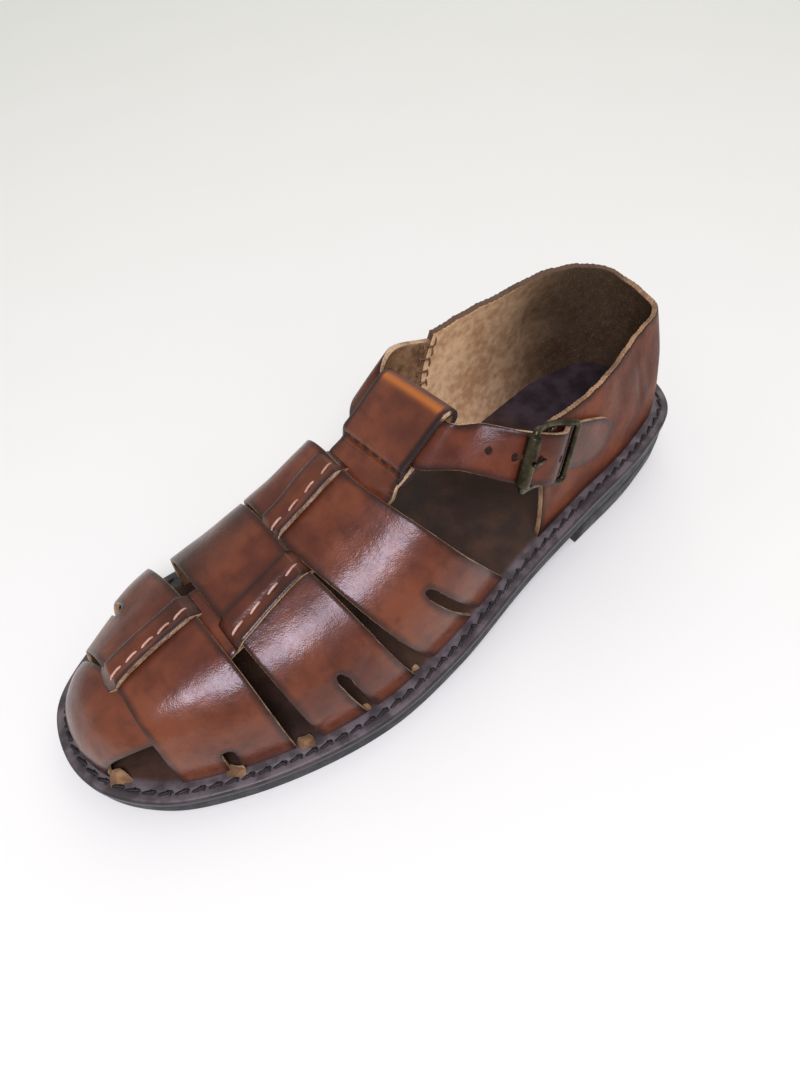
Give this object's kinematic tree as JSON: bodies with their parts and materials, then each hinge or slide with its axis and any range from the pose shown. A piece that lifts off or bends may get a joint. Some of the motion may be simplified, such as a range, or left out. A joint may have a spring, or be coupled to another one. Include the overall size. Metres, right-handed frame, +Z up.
{
  "type": "sandal",
  "caption": "Closed-toe leather cage sandal for the left foot, with woven straps, a buckled ankle strap through an instep loop and a low rubber sole.",
  "frame": {"origin": "centre of the bounding box on the floor plane", "axes": "+X from heel to toe, +Y to the outer side, +Z up"},
  "size_m": [0.29, 0.1088, 0.0971],
  "materials": {
    "sole_rubber": "black rubber, satin",
    "insole_leather": "thick dark brown leather, satin",
    "cage_leather": "cognac leather, waxed gloss",
    "quarter_leather": "cognac leather, waxed gloss, raw flesh side",
    "strap_leather": "cognac leather, waxed gloss",
    "buckle_brass": "aged dark brass",
    "roller_brass": "aged dark brass",
    "prong_brass": "aged dark brass",
    "tab_leather": "brown leather"
  },
  "bodies": {
    "root": {"outsole": "sole_rubber", "insole_board": "insole_leather", "cage_vamp": "cage_leather", "heel_quarter": "quarter_leather", "ankle_strap": "strap_leather", "buckle_frame": "buckle_brass", "buckle_roller": "roller_brass", "buckle_prong": "prong_brass", "buckle_tab": "tab_leather"}
  },
  "joints": []
}
